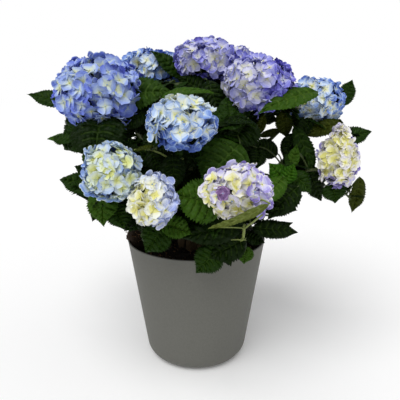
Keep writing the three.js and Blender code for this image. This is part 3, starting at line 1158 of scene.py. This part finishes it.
# leaves with a place of their own
placedLeaves = {
    "farLeft": leafAt((77, 104), (26.6, 94), (-0.03, -0.02), 0.046, "mid", (0, -0.72, 0.7), arch=0.0,
                      fold=8),
    "leftDarkTip": leafAt((88, 121), (65, 115), (-0.06, -0.05), 0.022, face=(0, -0.5, 0.86), arch=0.0,
                          fold=10),
    "leftOuter": leafAt((88, 119), (65, 150), (-0.1, -0.08), 0.086, "mid", (-0.35, -0.85, 0.4)),
    "leftPoint": leafAt((88, 141), (47, 139), (-0.08, -0.08), 0.034, "bright", (0, -0.6, 0.8), fold=10),
    "leftFront": leafAt((104, 114), (95, 166), (-0.09, -0.19), 0.108, face=(-0.02, -0.72, 0.69),
                        arch=0.06, fold=5),
    "leftSmall": leafAt((92, 149), (83.5, 163.5), (-0.12, -0.13), 0.024, "bright", (-0.2, -0.8, 0.5),
                        arch=0.0, fold=10),
    "leftBlackTip": leafAt((96, 174), (74, 166), (-0.15, -0.14), 0.030, face=(0, -0.6, 0.8), arch=0.0,
                           fold=10),
    "lowLeft": leafAt((104, 191), (59.5, 179.5), (-0.14, -0.12), 0.058, "mid", (-0.15, -0.62, 0.77),
                      arch=0.07, fold=8),
    "lowLeftFront": leafAt((105, 182), (104, 227), (-0.15, -0.2), 0.068, "bright", (-0.28, -0.78, 0.55),
                           arch=0.06),
    "lowLeftRight": leafAt((116, 203), (124, 229.5), (-0.17, -0.2), 0.052, "mid", (0.1, -0.8, 0.6),
                           arch=0.04, fold=8),
    "rimLeft": leafAt((166, 225), (145.5, 252.3), (-0.205, -0.222), 0.062, "mid", (-0.15, -0.9, 0.4),
                      arch=0.07, fold=9),
    "rimLeftPoint": leafAt((160, 222), (192, 234.3), (-0.21, -0.215), 0.048, "bright",
                           (0.15, -0.78, 0.62), fold=12),
    "centreLow": leafAt((224, 206), (172.6, 194.5), (-0.21, -0.235), 0.084, "bright",
                        (-0.12, -0.84, 0.53)),
    "centreQuilted": leafAt((240, 144), (203, 186), (-0.13, -0.19), 0.108, "quilted", (0.02, -0.82, 0.57),
                            fold=4),
    "centreRight": leafAt((249, 118), (231, 147), (-0.09, -0.12), 0.084, face=(0.05, -0.85, 0.5),
                          arch=0.06, fold=8),
    "rimVeinedUpper": leafAt((243, 226), (180.5, 238), (-0.2, -0.205), 0.056, face=(0, -0.85, 0.52),
                             arch=0.06),
    "rimVeinedLower": leafAt((246, 238), (208, 258), (-0.19, -0.205), 0.058, face=(0.05, -0.88, 0.46),
                             arch=0.08),
    "rimBright": leafAt((219, 247), (196, 273), (-0.195, -0.212), 0.058, "mid", (0.05, -0.95, 0.3),
                        arch=0.07, fold=8),
    "rimSmall": leafAt((246, 246), (243.8, 264), (-0.185, -0.19), 0.035, "bright", (0, -0.93, 0.36),
                       fold=10),
    "underBloom": leafAt((270, 203.5), (208, 228.5), (-0.328, -0.322), 0.034, "under",
                         (-0.27, 0.66, 0.70), arch=-0.05),
    "rightBloomFront": leafAt((318, 92), (257.5, 114.3), (-0.05, -0.118), 0.058, "bright",
                              (-0.1, -0.62, 0.78), arch=0.08, fold=10),
    "farRightTop": leafAt((340, 106), (352.5, 79.5), (0.08, 0.08), 0.046, "mid", (0.35, -0.85, 0.4),
                          arch=0.04, fold=8),
    "rightOlive": leafAt((343, 123), (302, 136.5), (-0.01, -0.01), 0.042, "olive", (0, -0.75, 0.66),
                         arch=0.06, fold=8),
    "farRight": leafAt((331, 141), (371.7, 131.5), (-0.01, 0.005), 0.050, "mid", (0.1, -0.75, 0.65),
                       fold=8),
    "lowRightFold": leafAt((360, 177), (351.5, 213), (-0.06, -0.06), 0.041, "olive", (0.3, -0.93, 0.2),
                           arch=0.04, fold=14),
    "lowRight": leafAt((333, 181), (335.5, 203), (-0.08, -0.085), 0.056, "mid", arch=0.06, fold=8),
    "lowRightDark": leafAt((309, 168), (321, 201), (-0.04, -0.03), 0.052, face=(0, -0.8, 0.6), arch=0.0,
                           fold=8),
    "rightQuilted": leafAt((294, 126), (314, 177), (-0.02, -0.05), 0.042, "mid", (0.1, -0.9, 0.42),
                           fold=8),
    "rightInner": leafAt((293, 133), (284, 160), (-0.02, -0.04), 0.034, face=(-0.3, -0.85, 0.4), fold=10),
    "rightYoungUp": leafAt((290, 170), (297, 144), (-0.07, -0.07), 0.026, "bright", (0, -0.9, 0.4),
                           fold=14),
    "rightYoungLeft": leafAt((286, 186), (268.5, 163), (-0.09, -0.1), 0.044, "young", (-0.05, -0.85, 0.5),
                             fold=10),
    "rightYoungTip": leafAt((284, 184), (294, 163.5), (-0.1, -0.1), 0.034, "young", (0.05, -0.85, 0.5),
                            fold=12),
    "rightArc": leafAt((291, 172), (311, 193), (-0.08, -0.09), 0.046, "mid", (0.1, -0.85, 0.5), arch=0.09,
                       fold=8),
    "rightDarkVeined": leafAt((299, 186), (268, 219.5), (-0.12, -0.15), 0.058, face=(-0.05, -0.85, 0.5),
                              arch=0.06),
    "bloomSide": leafAt((284, 177), (261, 207), (-0.13, -0.2), 0.040, "bright", (0.1, -0.8, 0.6),
                        arch=0.06, fold=10),
    "rimRight": leafAt((252, 228), (298, 232.5), (-0.14, -0.14), 0.042, face=(0, -0.8, 0.6)),
    "gapDark": leafAt((278, 154), (253, 142), (-0.02, -0.03), 0.046),
    "gapOlive": leafAt((281, 111), (287, 138), (0.0, 0.0), 0.040, "olive", (0, -0.95, 0.3), arch=0.0,
                       fold=8),
    "gapLeft": leafAt((264, 115), (257, 137), (-0.02, -0.02), 0.022, "olive", (0, -0.95, 0.3), arch=0.0,
                      fold=8),
    "topFront": leafAt((184, 80), (151, 51), (0.07, 0.07), 0.044, "mid", (0.1, -0.75, 0.66), arch=0.07,
                       fold=8),
    "topLeft": leafAt((118, 97), (172, 92), (-0.05, -0.09), 0.078, "quilted", (0.1, -0.8, 0.6),
                      arch=0.06),
    "topInner": leafAt((205, 95), (178, 77), (0.0, 0.02), 0.054, fold=5),
    "topEdge": leafAt((160, 98), (214, 93), (-0.1, -0.1), 0.040, "bright", (0, -0.35, 0.93), arch=0.09),
    "topRound": leafAt((207, 80), (219, 113.5), (-0.02, -0.04), 0.048, face=(0.1, -0.9, 0.4), arch=0.07),
    "leftGrey": leafAt((147, 112), (119, 127.5), (-0.08, -0.09), 0.042),
    "midStemLeaf": leafAt((156, 147), (157, 134), (-0.2, -0.205), 0.014, "mid", (-0.1, -0.9, 0.4),
                          arch=0.0, fold=10),
    "midOlive": leafAt((154, 146), (133.5, 151), (-0.18, -0.17), 0.018, "olive", (0, -0.4, 0.9),
                       arch=0.03, fold=8),
    "innerHanging": leafAt((172, 154), (175, 190), (-0.16, -0.18), 0.048, face=(0.05, -0.88, 0.46),
                           fold=8),
    "innerSmall": leafAt((150, 150), (161, 174), (-0.14, -0.16), 0.034, face=(0.05, -0.88, 0.46), fold=8),
    "innerRight": leafAt((206, 136), (186, 170), (-0.12, -0.15), 0.050, face=(0, -0.88, 0.46), fold=8),
    "centreLeft": leafAt((246, 116), (216, 134), (-0.08, -0.1), 0.054, "mid", (-0.1, -0.85, 0.5),
                         arch=0.08),
    "gapUpper": leafAt((254, 112), (277, 121), (0.03, 0.04), 0.044, arch=0.04, fold=8),
    "gapTop": leafAt((300, 111), (268, 113), (0.05, 0.05), 0.032, arch=0.04, fold=8),
    "gapPale": leafAt((281, 130), (257, 137), (0.02, 0.01), 0.020, "olive", (0, -0.8, 0.6), arch=0.03,
                      fold=8),
    "belowRightHead": leafAt((314, 115), (284, 125), (0.03, 0.02), 0.042),
    "belowRightHeadLow": leafAt((312, 119), (294, 136), (0.0, -0.01), 0.042),
    "centreDark": leafAt((259, 147), (233, 157), (-0.04, -0.06), 0.046),
    "centreDarkLow": leafAt((257, 148), (256, 170), (-0.06, -0.09), 0.044),
    "innerBelowHead": leafAt((174, 145), (148, 153), (-0.1, -0.12), 0.04),
    "innerByGap": leafAt((112, 129), (136, 136), (-0.06, -0.08), 0.044),
    "topShade": leafAt((243, 97), (215, 104), (0.0, -0.02), 0.04),
    "leftShade": leafAt((152, 104), (127, 106), (-0.02, -0.03), 0.038, "mid"),
    "rimShade": leafAt((142, 211), (124, 231), (-0.13, -0.14), 0.042, face=(-0.1, -0.85, 0.5)),
    "belowBloomShade": leafAt((264, 206), (238, 223), (-0.1, -0.13), 0.05),
    "rimRightTop": leafAt((262, 233), (293, 222.5), (-0.13, -0.13), 0.026, face=(0, -0.8, 0.6),
                          arch=0.04),
    "gapCorner": leafAt((268, 110), (247, 121), (0.0, 0.0), 0.034, arch=0.04, fold=8),
    "innerLeftShade": leafAt((152, 118), (130, 131), (-0.04, -0.06), 0.060),
    "innerLeftLow": leafAt((168, 128), (147, 139), (-0.06, -0.09), 0.056),
    "innerLeftBase": leafAt((176, 160), (132, 154), (-0.08, -0.10), 0.060),
    "innerMiddle": leafAt((205, 160), (184, 182), (-0.08, -0.12), 0.060),
    "gapLow": leafAt((120, 149), (139, 149), (-0.10, -0.12), 0.026, arch=0.02),
    "gapShade": leafAt((161, 133), (142, 147), (-0.13, -0.15), 0.034, arch=0.02),
    "rimInner": leafAt((244, 233), (265, 243), (-0.12, -0.13), 0.034, face=(0, -0.7, 0.7), arch=0.02),
    "lowRightInner": leafAt((338, 172), (350, 193), (-0.03, -0.04), 0.030, arch=0.02),
    "topShadeRight": leafAt((163, 92), (184, 76), (0.15, 0.17), 0.050),
    "centreShade": leafAt((187, 186), (182, 221), (-0.13, -0.16), 0.06),
}
apartFrom = 250  # leaves right of this pixel don't hang on the pale front shoots

for number, item in enumerate(placedLeaves.values()):
    base, tip = [seenAt(*spot, depth) for spot, depth in zip(item["seen"], item["depths"])]
    startDraws(number, *leaf["placedKey"])
    spec = leafSpec(base, tip, item["width"], item["face"], item["tint"], placed=True,
                    arch=item["arch"], fold=item["fold"])
    leafGroups[regionOf((base + tip) / 2)].append(spec)
    limb = nearestLimb(base, "frontPale" if item["seen"][0][0] > apartFrom else "")
    addStalk(limb, base, spec["way"], int(item["tint"] in leaf["paleStalks"]))
print(f"{len(placedLeaves)} placed leaves")


def leafFinish(name, tone):
    # a fine net of raised cells between the smallest veins
    finish = newMaterial(name, tone, *leaf["surface"])
    nodes, links, shader = treeOf(finish)
    place = addNode(nodes, "TexCoord")
    cells = addNode(nodes, "TexVoronoi")
    cells.feature = "SMOOTH_F1"
    cells.inputs["Scale"].default_value = leaf["netScale"]
    bump = addNode(nodes, "Bump", Distance=leaf["netDepth"])
    bump.invert = True
    links.new(place.outputs["Object"], cells.inputs["Vector"])
    links.new(cells.outputs["Distance"], bump.inputs["Height"])
    links.new(bump.outputs["Normal"], shader.inputs["Normal"])
    return finish


leafFinishes = [leafFinish(f"leaf{tint.capitalize()}{part}", tone)
                for tint, tones in leaf["tints"].items()
                for part, tone in zip(("Blade", "Vein"), tones)]

groupNodes = {name: [] for name in leafGroups}
for name, box in massBox.items():
    if name not in rooms:
        groupNodes[regionOf((box[0] + box[1]) / 2)].append("leaves_" + name)
for group, specs in leafGroups.items():
    heap = newHeap()
    for placed, strips in ((False, "grownStrips"), (True, "placedStrips")):
        growLeaves(heap, [spec for spec in specs if spec["placed"] == placed], leaf[strips])
    makePiece("leaves" + group, heap, leafFinishes, groupNodes[group])

# flower heads

floret = {
    "rows": (0, 0.20, 0.42, 0.64, 0.83, 0.95, 1.0),
    "spread": (0.14, 0.56, 0.90, 1.0, 0.82, 0.52, 0.26),
    "across": (-1, -0.84, 0, 0.84, 1),
    "cup": 0.16,
    "cupPower": 1.6,
    "edgeDrawn": 0.12,
    "edgeLift": 0.10,
    "sink": 0.03,
    "ripple": 0.06,
    "rise": 0.12,
    "pinwheel": 0.14,
    "tilt": 0.30,
    "crowding": 1.22,
    "inset": 0.42,
    "squareness": 2.2,
    "heartSpan": (0.40, 1.0),
    "ageSpread": 0.09,
    "agePatches": 0.08,
    "patchSize": 6,
    "younger": (0.52, 0.30, 0.13),  # towards the base of a sepal
    "youngerSpread": (0.7, 1.3),
    "outerLeast": 0.30,
    # the rim is drawn paler than the sepal: a painted highlight where the margin catches light
    "rimHighlight": (0.10, 0.42),
    "rimLeast": 0.42,
    "stepsPerTone": 2,
    "budTone": (206, 206, 120),
    "budBlue": (150, 176, 214),
    "plum": (112, 82, 130),
    "plumPale": (152, 124, 166),
    "plumScale": 0.80,
    "plumOut": 1.06,
    "outerShare": 0.74,
    "outerDepth": (0.94, 1.0),
    "innerDepth": (0.79, 0.90),
    "innerScale": 0.9,
    # florets set deeper in the head move along the ramp to darker tones: painted shade
    "innerAge": 0.25,
    "scale": (0.85, 1.12),
    "long": (0.90, 1.10),
    "wide": (0.56, 0.68),
    "cupRange": (-0.8, 2.0),
    "turnSpread": 0.08,
    "scatter": 0.36,
    "stalkGap": 0.97,
    "bud": 0.0013,
    "budRange": (0.8, 1.3),
    "budShoulder": 0.9,
    "budPoint": 1.7,
    "blueBudAge": 0.5,
    "blueBudShare": 0.5,
    "pedicelShare": 0.5,
    "pedicelStart": (0.1, 0.7),
    "pedicelBend": 0.004,
    "pedicelDrop": 0.001,
    "pedicelRadius": 0.0007,
    "pedicelTone": (132, 150, 104),
    "pedicelSurface": (0.6, 0.3),
    "coreGrid": (8, 14),
    # the head's inner tangle is coloured dark as painted shade between the florets
    "core": (40, 50, 28),
    "coreShare": 0.73,
    "coreRough": (0.9, 1.05),
    "surface": (0.62, 0.22),
    "petalBump": (500, 0.0004, 2.0),
}

# from newly opened to fully coloured
ramps = {
    "sky": ((226, 226, 150), (236, 240, 222), (208, 224, 244), (144, 174, 230), (96, 124, 204)),
    "blue": ((212, 220, 190), (192, 208, 224), (154, 174, 232), (116, 134, 220), (84, 96, 194)),
    "violet": ((222, 222, 206), (214, 214, 238), (172, 174, 234), (132, 132, 218), (100, 94, 190)),
    "lilac": ((232, 228, 140), (240, 238, 206), (238, 236, 246), (198, 194, 240), (150, 134, 208)),
    "mist": ((232, 228, 144), (240, 240, 214), (234, 239, 248), (200, 210, 241), (152, 166, 222)),
    "ice": ((214, 220, 140), (222, 231, 198), (208, 222, 238), (166, 192, 236), (118, 146, 216)),
}

# the ramp, how far along it a floret is at the heart of the head and on the far side,
# where the heart lies, and the size of a floret
looks = {
    "left": ("blue", 0.52, 0.92, (0.05, -0.90, 0.38), 0.0195),
    "front_upper": ("sky", 0.50, 0.92, (0.05, -0.45, 0.88), 0.0170),
    "front_low_left": ("ice", 0.42, 0.80, (0.1, -0.85, 0.4), 0.0155),
    "front_low_right": ("lilac", 0.34, 0.84, (-0.8, -0.5, -0.2), 0.0165),
    "top_right": ("violet", 0.35, 0.85, (-0.75, -0.6, 0.0), 0.0185),
    "right_upper": ("sky", 0.60, 0.88, (-0.3, -0.9, -0.3), 0.0170),
    "top": ("violet", 0.46, 0.86, (0.1, -0.75, 0.5), 0.0170),
    "back": ("blue", 0.45, 0.95, (0.2, 0.8, 0.5), 0.0180),
    "back_left": ("sky", 0.38, 0.88, (-0.4, 0.6, 0.6), 0.0175),
    "front_low": ("mist", 0.34, 0.78, (-0.7, -0.6, 0.1), 0.0150),
    "right": ("lilac", 0.26, 0.81, (-0.4, -0.7, 0.25), 0.0145),
    "top_left": ("sky", 0.76, 0.98, (0.1, -0.8, 0.3), 0.0170),
    "top_back": ("violet", 0.45, 0.95, (0.2, -0.6, 0.6), 0.0165),
    "back_right": ("violet", 0.45, 0.92, (0.5, 0.6, 0.5), 0.0175),
    "back_low_left": ("mist", 0.36, 0.72, (-0.3, 0.8, 0.3), 0.0160),
    "back_low_right": ("lilac", 0.34, 0.82, (0.2, 0.9, 0.2), 0.0165),
}

# how a head is drawn in or out within its own solid
trims = {
    "left": (1, 1, 1.06),
    "front_upper": (0.92, 1, 0.92),
    "front_low_left": (0.91, 1, 0.92),
    "front_low_right": (0.97, 1, 0.91),
    "top_right": (1, 1, 0.98),
    "right_upper": (1.10, 1, 1.05),
    "top": (0.95, 1, 0.97),
    "front_low": (0.93, 1, 0.91),
    "right": (0.92, 1, 1.02),
    "top_left": (1.18, 1, 1.20),
}

# small moves of a whole head
nudges = {
    "left": (0, 0, -0.008),
    "front_upper": (0, 0, -0.001),
    "front_low_left": (0.003, 0, 0.001),
    "front_low_right": (0.001, 0, 0.001),
    "top_right": (0.005, 0, -0.005),
    "right_upper": (-0.007, 0, -0.005),
    "top": (0.001, 0, -0.004),
    "front_low": (0, 0, -0.001),
    "right": (0.003, 0, 0),
    "top_left": (0.006, 0, -0.010),
}
tapers = {"right": 0.66, "front_low": 0.15}  # heads that narrow towards the top
darkFlorets = {"front_low_right": (-0.45, -0.88, 0.02)}  # the one deep plum floret


def rampTones(keys):
    # the keys with even steps between them
    steps = (len(keys) - 1) * floret["stepsPerTone"] + 1
    at = np.linspace(0, len(keys) - 1, steps)
    return [tuple(np.interp(a, range(len(keys)), [key[c] for key in keys]) for c in range(3))
            for a in at]


toneCount = len(rampTones(ramps["sky"]))
budPale, budBlue, plum, plumPale, core = range(toneCount, toneCount + 5)
plumTones = (plumPale, plum, plum, plumPale, plum, plumPale)
sepalFaces = gridFaces(len(floret["rows"]), len(floret["across"]))


def spreadOver(number, axis):
    # even directions all round, left open where the stalk comes in
    k = np.arange(number) + 0.5
    polar = np.arccos(1 - 2 * k / number)
    spin = np.pi * (1 + 5 ** 0.5) * k
    ways = turned(np.sin(polar), spin, np.cos(polar))
    ways = unit(ways + rng.normal(0, floret["scatter"] / number ** 0.5, ways.shape))
    return ways[ways @ axis > -floret["stalkGap"]]


def floretTones(look, way, outside, patch):
    # the tones of a sepal from its base to its rim, and how old the floret is; a floret set deeper in the
    # head takes darker tones as painted shade
    young, old, heart = look
    nearHeart = 0.5 + 0.5 * float(way @ unit(heart))
    age = old + (young - old) * smoothStep(*floret["heartSpan"], nearHeart)
    age = age + floret["agePatches"] * math.sin(way @ patch) + rng.normal(0, floret["ageSpread"])
    # painted shade: a floret set deeper in the head takes a darker tone
    age = age + (0 if outside else floret["innerAge"])

    def stepAt(a):
        return int(np.clip(a, 0, 0.999) * toneCount)

    paler = rng.uniform(*floret["youngerSpread"])
    base, inner, middle = [stepAt(age - back * paler) for back in floret["younger"]]
    outer = stepAt(max(age, floret["outerLeast"]))
    # the rim takes a paler step than the sepal: a painted highlight along the margin
    rim = stepAt(max(age - rng.uniform(*floret["rimHighlight"]), floret["rimLeast"]))
    return (base, inner, middle, outer, outer, rim), age


def growSepal(heap, place, axes, turn, long, wide, cup, tones):
    one, two, aim = axes
    r = np.array(floret["rows"])[:, None]
    a = np.array(floret["across"])[None]
    faces, row, column = sepalFaces
    x = wide * np.array(floret["spread"])[:, None] * a
    y = long * (r - floret["edgeDrawn"] * a ** 2 * r)
    z = long * (cup * r ** floret["cupPower"] + floret["edgeLift"] * a ** 2 * r - floret["sink"])
    z = z + long * floret["ripple"] * np.sin(3 * a + 6 * r + 3 * turn) * r
    z = z + x * floret["pinwheel"] * 2 + rng.normal(0, floret["rise"]) * y
    across = -math.sin(turn) * one + math.cos(turn) * two
    ahead = math.cos(turn) * one + math.sin(turn) * two
    points = place + x[..., None] * across + y[..., None] * ahead + z[..., None] * aim
    # the outer strips of each sepal take the rim tone, a painted highlight
    onRim = (row > 1) & ((column == 0) | (column == len(floret["across"]) - 2))
    pile(heap, points, faces, np.where(onRim, tones[-1], np.array(tones)[row]))


def growBud(heap, place, axes, size, tone):
    # the closed eye in the middle of a floret
    one, two, aim = axes
    ring = bearings(4)
    low = place + size * (np.cos(ring)[:, None] * one + np.sin(ring)[:, None] * two)
    points = np.concatenate([low, low + aim * size * floret["budShoulder"],
                             [place + aim * size * floret["budPoint"]]])
    faces = []
    for i in range(4):
        j = (i + 1) % 4
        faces += [(i, j, 4 + j), (i, 4 + j, 4 + i), (4 + i, 4 + j, 8)]
    pile(heap, points, faces, tone)


def growCore(heap, centre, half):
    # the tangle of flower stalks inside a head, in a dark tone that is painted shade between the florets
    rings, turns = floret["coreGrid"]
    polar = np.linspace(0.05, np.pi - 0.05, rings)[:, None]
    ways = turned(np.sin(polar), bearings(turns), np.cos(polar))
    points = centre + ways * half * rng.uniform(*floret["coreRough"], (rings, turns, 1))
    pile(heap, points, gridFaces(rings, turns, True)[0], core)


def floretCount(half, size):
    # an ellipsoid's skin, nearly, over the room that one floret takes
    power = 1.6
    pairs = ((0, 1), (0, 2), (1, 2))
    mean = sum((half[i] * half[j]) ** power for i, j in pairs) / 3
    return int(4 * np.pi * mean ** (1 / power) / (size * size * floret["crowding"]))


def floretPlace(name, way, centre, inner, depth):
    # on a slightly squared ellipsoid; some heads narrow towards the top
    taper = np.array([1, 1, 0]) * tapers.get(name, 0) * max(0, way[2])
    fuller = way / (np.abs(way) ** floret["squareness"]).sum() ** (1 / floret["squareness"])
    return centre + fuller * inner * depth * (1 - taper)


def growFloret(heap, place, axes, size, tones, age, outside, isDark):
    # four sepals crosswise around a bud
    scale = size * rng.uniform(*floret["scale"]) * (1.0 if outside else floret["innerScale"])
    scale = scale * (floret["plumScale"] if isDark else 1)
    cup = floret["cup"] * rng.uniform(*floret["cupRange"]) * (not isDark)
    start = rng.uniform(0, np.pi)
    for quarter in range(4):
        turn = start + quarter * np.pi / 2 + rng.normal(0, floret["turnSpread"])
        long, wide = [scale * rng.uniform(*floret[span]) for span in ("long", "wide")]
        growSepal(heap, place, axes, turn, long, wide, cup, tones)
    isBlue = age > floret["blueBudAge"] and rng.uniform() < floret["blueBudShare"]
    budTone = budBlue if isBlue else budPale
    growBud(heap, place, axes, floret["bud"] * rng.uniform(*floret["budRange"]), budTone)


def growHead(name, heap, pedicels):
    young, old, heart, size = looks[name][1:]
    centre = np.array(heads[name]["at"]) + nudges.get(name, 0)
    inner = np.array(heads[name]["size"]) / 2 - size * floret["inset"]
    inner = inner * trims.get(name, 1)
    stalkEnd = canePaths[name][-1]
    axis = unit(centre - stalkEnd)
    ways = spreadOver(floretCount(inner, size), axis)
    darkest = int(np.argmax(ways @ unit(darkFlorets[name]))) if name in darkFlorets else -1
    patch = unit(rng.normal(size=3)) * floret["patchSize"]
    # a dark inner body whose tone is painted shade, seen through the gaps between florets
    growCore(heap, centre, inner * floret["coreShare"])
    for i, way in enumerate(ways):
        outside = rng.uniform() < floret["outerShare"]
        depth = rng.uniform(*floret["outerDepth" if outside else "innerDepth"])
        if i == darkest:
            outside, depth = True, floret["plumOut"]
        place = floretPlace(name, way, centre, inner, depth)
        aim = unit(unit(way / inner) + rng.normal(0, floret["tilt"], 3))
        one = unit(np.cross(aim, rng.normal(size=3)))
        tones, age = floretTones((young, old, heart), way, outside, patch)
        if i == darkest:
            tones = plumTones
        growFloret(heap, place, (one, np.cross(aim, one), aim), size, tones, age, outside,
                   i == darkest)
        if rng.uniform() < floret["pedicelShare"]:
            foot = stalkEnd + (centre - stalkEnd) * rng.uniform(*floret["pedicelStart"])
            bend = (foot + place) / 2 + axis * floret["pedicelBend"]
            pedicels.append(bezier(foot, bend, place - aim * floret["pedicelDrop"], 4))


def petalFinish(name, rgb):
    finish = newMaterial(name, rgb, *floret["surface"])
    addBump(finish, *floret["petalBump"])
    return finish


extraFinishes = [petalFinish(name, floret[key]) for name, key in (
    ("budPale", "budTone"), ("budBlue", "budBlue"), ("petalPlum", "plum"),
    ("petalPlumPale", "plumPale"), ("headCoreShade", "core"))]
petalFinishes = {
    ramp: [petalFinish(f"petal{ramp.capitalize()}{i + 1}", tone)
           for i, tone in enumerate(rampTones(keys))] + extraFinishes
    for ramp, keys in ramps.items()
}

pedicels = []
for number, name in enumerate(heads):
    startDraws(number)
    heap = newHeap()
    growHead(name, heap, pedicels)
    words = "".join(word.capitalize() for word in name.split("_"))
    makePiece("bloom" + words, heap, petalFinishes[looks[name][0]], ["bloom_" + name])


def twigFinishes():
    finishes = [newMaterial("stalkGreen", leaf["stalkTone"], *leaf["stalkSurface"]),
                newMaterial("stalkPale", leaf["paleStalkTone"], *leaf["stalkSurface"]),
                newMaterial("pedicelGreen", floret["pedicelTone"], *floret["pedicelSurface"])]
    for finish in finishes:
        addBump(finish, *leaf["stalkBump"])
    return finishes


def makeTwigs():
    # leaf stalks and shoots, then the stalks inside the flower heads
    heap = newHeap()
    for path, radius, tone in stalkLines:
        path = evenly(path, leaf["stalkRings"])
        radii = np.linspace(radius * leaf["stalkTaper"], radius, len(path))
        points, faces = tube(path, radii, leaf["stalkSides"])
        pile(heap, points, faces, tone)
    for path in pedicels:
        points, faces = tube(path, floret["pedicelRadius"], 3)
        pile(heap, points, faces, 2)
    makePiece("twigs", heap, twigFinishes(), [])


makeTwigs()
